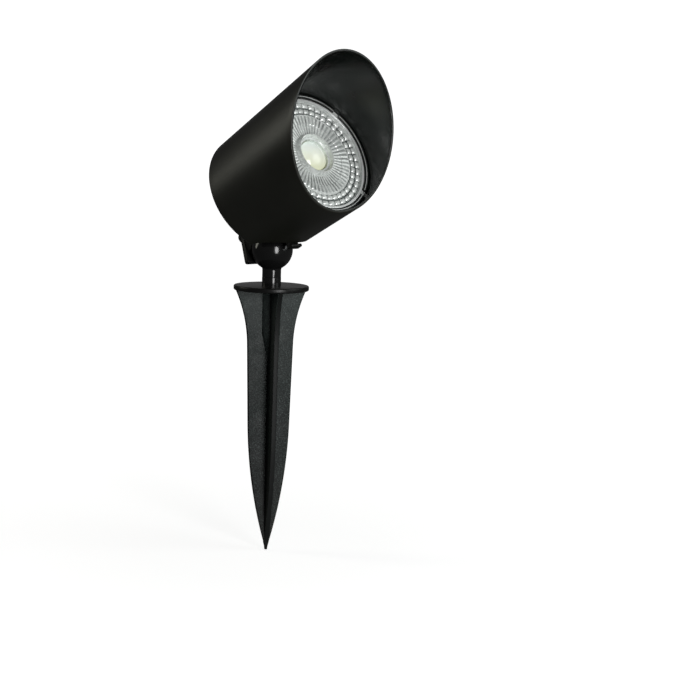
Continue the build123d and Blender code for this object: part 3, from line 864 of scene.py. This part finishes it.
def build_clamp_screws():
    seats = [Matrix.Translation((plate_low.x, y, CLAMP_SCREW_Z)) for y in (-CLAMP_SCREW_Y, CLAMP_SCREW_Y)]
    return gather([move(build_screw_head(), seat) for seat in seats])


piece("bracket_block", build_block(), BALL, "lamp_head", ["socket_block"], materials["bracket_black"])
piece("bracket_plate", build_plate(), BALL, "lamp_head", ["clamp_plate"], materials["bracket_black"])
piece("bracket_screws", build_clamp_screws(), BALL, "lamp_head", ["clamp_screws"], materials["screw_black"])

# ---- stem ----
SHANK_RADIUS = 4.02
SPIGOT_RADIUS = 2.95
NECK_FILLET = 0.25
NECK_LENGTH = 0.8
CLIP_GROOVE_DEPTH = 0.6
CLIP_GROOVE_GAP = 0.1
spike_low, spike_high = extent("ground_spike", GROUND)
clip_low, clip_high = extent("stem_clip", GROUND)


def build_stem():
    """Ball, shank and the grooved spigot that turns in the spike."""
    centre = ball_centre.z / MM
    shoulder = spike_high.z + 0.05
    neck_angle = math.degrees(math.asin((SHANK_RADIUS + NECK_FILLET) / ball_radius))
    sphere = arc((centre, 0), ball_radius, 0, 180 - neck_angle, 72)
    neck_z = sphere[-1].x
    outline = [Vector((centre + ball_radius, 0)), *sphere[1:]]
    outline += [Vector((neck_z - 0.35, SHANK_RADIUS + 0.06)), Vector((neck_z - NECK_LENGTH, SHANK_RADIUS))]
    groove_top, groove_bottom = clip_high.z + CLIP_GROOVE_GAP, clip_low.z - CLIP_GROOVE_GAP
    groove_radius = SPIGOT_RADIUS - CLIP_GROOVE_DEPTH
    outline += soften(
        [
            (neck_z - 0.9, SHANK_RADIUS), (shoulder, SHANK_RADIUS), (shoulder, SPIGOT_RADIUS),
            (groove_top, SPIGOT_RADIUS), (groove_top, groove_radius),
            (groove_bottom, groove_radius), (groove_bottom, SPIGOT_RADIUS),
            (stem_low.z, SPIGOT_RADIUS), (stem_low.z, 0),
        ],
        0.12, closed=False,
    )
    return turned([(point[0], point[1]) for point in outline], segments=128, axis="Z")


piece("stem_ball", build_stem(), GROUND, "stem", ["ball_stem"], materials["stem_black"])

# ---- spike ----
DISC_THICKNESS = 2.05
DISC_RADIUS = 16.05
DISC_ROUND = 0.6
BOSS_RADIUS = 4.06
BOSS_ROUND = 0.05
SOCKET_RADIUS = 3.0
BLADE_THICKNESS = 2.2
BLADE_EDGE = 0.4
POINT_HALF_WIDTH = 0.25
BLADE_HEADING = -26.0
BLADE_ROOT = (15.4, 0.0)
BLADE_FLARE = (11.85, -10.0)
BLADE_NECK = (10.0, -24.0)
BLADE_SHOULDER = (9.1, -58.0)
CORE_RADIUS = 4.2
CORE_TIP_RADIUS = 1.3
CORE_TOP_LENGTH = 18.5
CORE_BOTTOM_Z = -32.0


def through(first, middle, last, steps):
    """Points of the arc through three points."""
    a, b, c = (Vector(point) for point in (first, middle, last))
    d = 2 * (a.x * (b.y - c.y) + b.x * (c.y - a.y) + c.x * (a.y - b.y))
    sums = [point.length_squared for point in (a, b, c)]
    centre = Vector((
        (sums[0] * (b.y - c.y) + sums[1] * (c.y - a.y) + sums[2] * (a.y - b.y)) / d,
        (sums[0] * (c.x - b.x) + sums[1] * (a.x - c.x) + sums[2] * (b.x - a.x)) / d,
    ))
    start = math.atan2(a.y - centre.y, a.x - centre.x)
    end = math.atan2(c.y - centre.y, c.x - centre.x)
    turn = (end - start + math.pi) % (2 * math.pi) - math.pi
    radius = (a - centre).length
    angles = [start + turn * step / steps for step in range(steps + 1)]
    return [centre + Vector((math.cos(angle), math.sin(angle))) * radius for angle in angles]


def tangent_arc(start, direction, end, steps):
    """Points of the arc that leaves start along a direction and reaches end."""
    start, end = Vector(start), Vector(end)
    chord = end - start
    normal = Vector((-direction.y, direction.x)).normalized()
    radius = chord.length_squared / (2 * chord.dot(normal))
    centre = start + normal * radius
    first = math.atan2(start.y - centre.y, start.x - centre.x)
    last = math.atan2(end.y - centre.y, end.x - centre.x)
    turn = (last - first + math.pi) % (2 * math.pi) - math.pi
    angles = [first + turn * step / steps for step in range(steps + 1)]
    return [centre + Vector((math.cos(angle), math.sin(angle))) * abs(radius) for angle in angles]


def blade_flank():
    """Half-widths of a blade down its length, as (half-width, height) points."""
    waist = Vector(BLADE_SHOULDER) - Vector(BLADE_NECK)
    flank = through(BLADE_ROOT, BLADE_FLARE, BLADE_NECK, 20)
    flank += [Vector(BLADE_NECK) + waist * step / 12 for step in range(1, 12)]
    return flank + tangent_arc(BLADE_SHOULDER, waist, (0.0, spike_low.z), 34)


def build_blade():
    """Flat blade with rounded edges that closes to a blunt point."""
    half_thickness = BLADE_THICKNESS / 2
    sections = []
    for half_width, z in blade_flank():
        half_width = max(half_width, POINT_HALF_WIDTH)
        thin = min(half_thickness, 0.35 + 0.85 * half_width)
        edge = min(BLADE_EDGE, SIDE_SHARE * thin, SIDE_SHARE * half_width)
        corners = [(half_width, thin), (half_width, -thin), (-half_width, -thin), (-half_width, thin)]
        sections.append([(x, y, z) for x, y in soften(corners, edge, steps=3)])
    return loft(sections)


def socket_bore():
    """Bore that takes the stem's spigot."""
    top, bottom = spike_high.z + 1, stem_low.z - 1
    return turned([(top, 0), (top, SOCKET_RADIUS), (bottom, SOCKET_RADIUS), (bottom, 0)], 96, axis="Z")


def build_spike():
    """Two crossed blades on a short core that takes the stem."""
    core = [
        (1, 0), (1, CORE_RADIUS), (-CORE_TOP_LENGTH, CORE_RADIUS),
        (CORE_BOTTOM_Z, CORE_TIP_RADIUS), (CORE_BOTTOM_Z, 0),
    ]
    body = turned(core, 72, axis="Z")
    for quarter in (0, 90):
        turn = Matrix.Rotation(math.radians(BLADE_HEADING + quarter), 4, "Z")
        body = combine(body, move(build_blade(), turn), "UNION")
    return combine(body, socket_bore(), "DIFFERENCE")


def smooth_edges(spike):
    """Gives the narrow edges of the blades their plain, untextured finish."""
    spike.data.materials.append(blade_edge_finish)
    reach = (BLADE_THICKNESS / 2 + 0.05) * MM
    for quarter in (0, 90):
        heading = math.radians(BLADE_HEADING + quarter)
        outward = Vector((math.cos(heading), math.sin(heading), 0))
        sideways = Vector((-outward.y, outward.x, 0))
        for face in spike.data.polygons:
            if abs(face.normal.dot(outward)) > 0.7 and abs(face.center.dot(sideways)) < reach:
                face.material_index = 1


def build_flange():
    """Disc that rests on the soil."""
    outline = [(0, 0), (0, DISC_RADIUS), (DISC_THICKNESS, DISC_RADIUS), (DISC_THICKNESS, 0)]
    return combine(turned(soften(outline, DISC_ROUND), 192, axis="Z"), socket_bore(), "DIFFERENCE")


def build_boss():
    """Short collar round the stem where it enters the disc."""
    top = spike_high.z
    outline = [(1, 0), (1, BOSS_RADIUS), (top, BOSS_RADIUS), (top, 0)]
    return combine(turned(soften(outline, BOSS_ROUND), 128, axis="Z"), socket_bore(), "DIFFERENCE")


smooth_edges(piece("spike_body", build_spike(), GROUND, "spike", ["ground_spike"], materials["spike_black"]))
flange = piece("spike_flange", build_flange(), GROUND, "spike", [], flange_finish)
boss = piece("spike_boss", build_boss(), GROUND, "spike", [], materials["stem_black"])

# ---- cable gland ----
NUT_CROWN_LENGTH = 8
NUT_MOUTH_RADIUS = 4.7
NUT_MIDDLE_RADIUS = 6.4
NUT_OVERLAP = 0.5
nut_low, nut_high = extent("gland_nut", TUBE)
gland_bore = mounts["cable_gland"]["dims"]["r_mm"]


def hex_outline(across_flats, corner=0.8):
    """Hexagon with a flat facing down and rounded corners."""
    reach = across_flats / 2 / math.cos(math.radians(30))
    return soften([(reach * math.cos(turn), reach * math.sin(turn)) for turn in HEX_TURNS], corner)


def build_nut():
    """Hexagon nut with a rounded crown, bored for the cable."""
    flats = nut_high.z - nut_low.z
    dome_x = nut_low.x + NUT_CROWN_LENGTH
    hexagon = prism(hex_outline(flats), dome_x - NUT_OVERLAP, nut_high.x, edge=0.35)
    mouth = (NUT_MOUTH_RADIUS, nut_low.x)
    middle = (NUT_MIDDLE_RADIUS, (nut_low.x + dome_x) / 2)
    foot = (flats / 2 - 0.1, dome_x + NUT_OVERLAP)
    crown = through(mouth, middle, foot, 18)
    outline = [(nut_low.x, 0), *[(point.y, point.x) for point in crown], (dome_x + NUT_OVERLAP, 0)]
    nut = combine(hexagon, turned(outline, segments=96), "UNION")
    start, end = nut_low.x - 1, nut_high.x + 1
    bore = turned([(start, 0), (start, gland_bore), (end, gland_bore), (end, 0)], 64)
    return combine(nut, bore, "DIFFERENCE")


piece("gland_cap", build_nut(), TUBE, "lamp_head", ["gland_nut"], materials["gland_nylon"])

# ---- floor, backdrop and light ----
FLOOR_SIZE = 3.0
FLOOR_GAP = 0.0004
FLOOR_GLOW = (0.80, 1.0)
FLOOR_FADE = (0.05, 0.45)
FLOOR_COLOUR = (0.6, 0.6, 0.6, 1)
BACKDROP_RADIUS = 3.2
BACKDROP_GLOW = 1.05
WORLD_GLOW = 0.055
LIGHT_DISTANCE = 0.9
WHITE = (1, 1, 1, 1)


def stage_object(name, mesh, material):
    """Part of the set, which the camera sees and which lights nothing."""
    item = linked(name, mesh_data(name, mesh))
    item.data.materials.append(material)
    item.visible_diffuse = False
    item.visible_glossy = False
    item.visible_transmission = False
    item.visible_shadow = False
    return item


def floor_finish():
    """Pale paper that glows to pure white away from the object and is clear from below."""
    material, tree, shader = blank_material("pale_floor", Specular_IOR_Level=0.0, Emission_Color=WHITE)
    shader.inputs["Base Color"].default_value = FLOOR_COLOUR
    place = tree.nodes.new("ShaderNodeTexCoord")
    reach = tree.nodes.new("ShaderNodeVectorMath")
    reach.operation = "LENGTH"
    tree.links.new(place.outputs["Object"], reach.inputs[0])
    glow = spread(tree, reach.outputs["Value"], *FLOOR_GLOW, source=FLOOR_FADE)
    tree.links.new(glow, shader.inputs["Emission Strength"])
    geometry = tree.nodes.new("ShaderNodeNewGeometry")
    clear = tree.nodes.new("ShaderNodeBsdfTransparent")
    sides = tree.nodes.new("ShaderNodeMixShader")
    tree.links.new(geometry.outputs["Backfacing"], sides.inputs["Fac"])
    tree.links.new(shader.outputs["BSDF"], sides.inputs[1])
    tree.links.new(clear.outputs["BSDF"], sides.inputs[2])
    tree.links.new(sides.outputs["Shader"], tree.nodes["Material Output"].inputs["Surface"])
    return material


floor_mesh = bmesh.new()
bmesh.ops.create_grid(floor_mesh, x_segments=1, y_segments=1, size=FLOOR_SIZE)
floor = stage_object("floor", floor_mesh, floor_finish())
floor.location.z = cad_box[0].z - FLOOR_GAP
backdrop_mesh = bmesh.new()
bmesh.ops.create_uvsphere(backdrop_mesh, u_segments=48, v_segments=24, radius=BACKDROP_RADIUS)
backdrop_white = blank_material(
    "white_backdrop", Emission_Color=WHITE, Emission_Strength=BACKDROP_GLOW
)[0]
stage_object("backdrop", backdrop_mesh, backdrop_white)

world = bpy.data.worlds.new("studio")
world.use_nodes = True
background = world.node_tree.nodes["Background"]
background.inputs["Color"].default_value = WHITE
background.inputs["Strength"].default_value = WORLD_GLOW
bpy.context.scene.world = world
head_centre = TUBE @ Vector((lens_low.x, 0, 0))


def softbox(name, direction, size, brightness, colour=(1, 1, 1)):
    """Oval area light that faces the head, with its brightness as radiance."""
    light = bpy.data.lights.new(name, "AREA")
    light.color = colour
    light.shape = "ELLIPSE"
    light.size, light.size_y = size
    light.energy = brightness * math.pi * size[0] * size[1] * math.pi / 4
    item = linked(name, light)
    away = Vector(direction).normalized()
    item.location = head_centre + away * LIGHT_DISTANCE
    item.rotation_euler = (-away).to_track_quat("-Z", "Y").to_euler()


softbox("key_light", (0.957, -0.285, 0.0), (0.31, 0.62), 11.0)
softbox("side_light", (-0.75, -0.555, 0.34), (0.27, 0.68), 2.4, colour=(1.0, 1.0, 0.87))
softbox("lens_light", (0.80, 0.50, 0.33), (0.68, 0.68), 2.1, colour=(0.95, 1.0, 0.98))
softbox("back_light", (-0.68, 0.72, 0.12), (0.68, 0.34), 0.16)

# ---- camera ----
CAMERA_PLACE = Vector((0.5240, -0.4632, 0.0721))
CAMERA_TARGET = Vector((0.0227, 0.0257, -0.0251))
CAMERA_ROLL = 0.0286
CAMERA_LENS = 84.75
camera_data = bpy.data.cameras.new("camera")
camera_data.lens = CAMERA_LENS
camera = linked("camera", camera_data)
look = (CAMERA_TARGET - CAMERA_PLACE).to_track_quat("-Z", "Y").to_matrix().to_4x4()
camera.matrix_world = Matrix.Translation(CAMERA_PLACE) @ look @ Matrix.Rotation(CAMERA_ROLL, 4, "Z")
bpy.context.scene.camera = camera
bpy.context.scene.view_settings.view_transform = "Standard"
